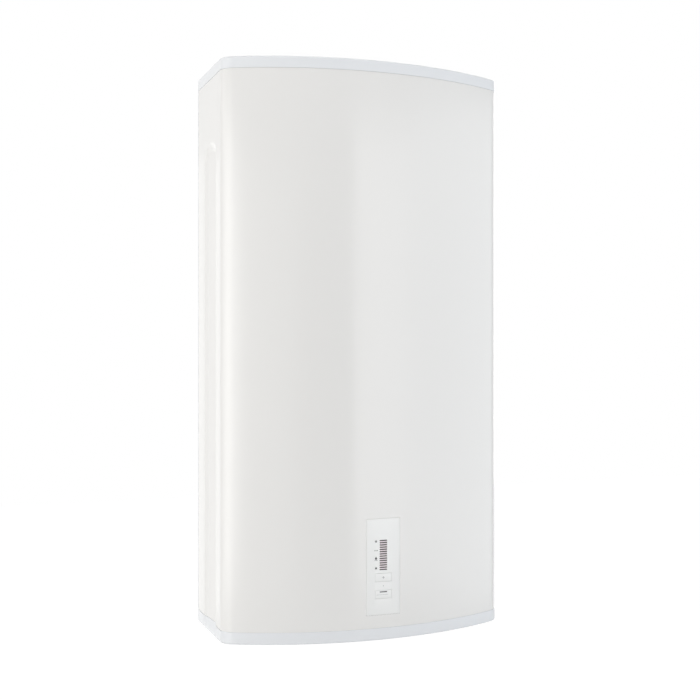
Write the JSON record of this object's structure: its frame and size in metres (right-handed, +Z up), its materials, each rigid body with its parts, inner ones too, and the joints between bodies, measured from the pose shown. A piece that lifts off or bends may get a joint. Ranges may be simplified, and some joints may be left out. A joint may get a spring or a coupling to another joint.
{
  "type": "electric storage water heater",
  "caption": "Flat wall-hung electric storage water heater with a bowed steel front, moulded end caps, insulated upright tanks and a narrow control panel low on the front.",
  "frame": {"origin": "middle of the upper wall bracket's rear face, which lies on the wall", "axes": "+Z up, +Y into the wall, +X to the right seen from the front; the front faces -Y"},
  "size_m": [0.567, 0.31, 1.115],
  "materials": {
    "casing": "white satin powder coat",
    "cap_plastic": "cool white, fine satin",
    "panel_plastic": "pale grey white, satin",
    "key_plastic": "pale grey white, satin",
    "galvanised_sheet": "zinc-coated",
    "enamelled_steel": "baked glass enamel inside, primer outside",
    "foam": "rigid foamed-in insulation",
    "pad": "expanded bead foam",
    "steel": "drawn, bare",
    "element": "sheathed rod",
    "anode_metal": "cast, dull",
    "rubber": "moulded",
    "dark_plastic": "moulded",
    "relay_plastic": "moulded",
    "circuit_board": "solder mask",
    "light_guide": "tinted clear moulding",
    "switch_plastic": "moulded",
    "pale_plastic": "moulded",
    "gland_plastic": "moulded",
    "blue_ring": "moulded",
    "red_ring": "moulded"
  },
  "bodies": {
    "heater": {"anode_left": "anode_metal", "anode_nut_left": "steel", "anode_nut_right": "steel", "anode_right": "anode_metal", "back_panel": "galvanised_sheet", "bottom_cap": "cap_plastic", "cable_gland": "gland_plastic", "control_housing": "pale_plastic", "control_plate": "panel_plastic", "display_board": "circuit_board", "flange_plate_left": "steel", "flange_plate_right": "steel", "front_shell": "casing", "gasket_left": "rubber", "gasket_right": "rubber", "gland_cap": "gland_plastic", "gland_lock_nut": "gland_plastic", "heating_element_left": "element", "heating_element_right": "element", "inlet_diffuser": "pale_plastic", "inlet_pipe": "steel", "inlet_ring": "blue_ring", "insulation_foam": "foam", "light_guide": "light_guide", "lower_bracket": "galvanised_sheet", "lower_link_pipe": "steel", "minus_switch": "switch_plastic", "outlet_pipe": "steel", "outlet_ring": "red_ring", "plus_switch": "switch_plastic", "power_board": "circuit_board", "power_box": "dark_plastic", "power_box_lid": "dark_plastic", "relay_left": "relay_plastic", "relay_right": "relay_plastic", "sensor_pocket_left": "steel", "sensor_pocket_right": "steel", "service_cover_left": "cap_plastic", "service_cover_right": "cap_plastic", "tank_left": "enamelled_steel", "tank_right": "enamelled_steel", "terminal_block": "pale_plastic", "thermostat_left": "dark_plastic", "thermostat_right": "dark_plastic", "top_cap": "cap_plastic", "top_pad": "pad", "upper_bracket": "galvanised_sheet", "upper_link_pipe": "steel"},
    "plus_key_press": {"plus_key": "key_plastic", "plus_plunger": "switch_plastic"},
    "minus_key_press": {"minus_key": "key_plastic", "minus_plunger": "switch_plastic"}
  },
  "joints": [
    {"name": "plus_press", "type": "slide", "parent": "heater", "child": "plus_key_press", "axis": [0, 1, 0], "range_m": [0, 0.0008], "stiffness_N_per_m": 600},
    {"name": "minus_press", "type": "slide", "parent": "heater", "child": "minus_key_press", "axis": [0, 1, 0], "range_m": [0, 0.0008], "stiffness_N_per_m": 600}
  ]
}
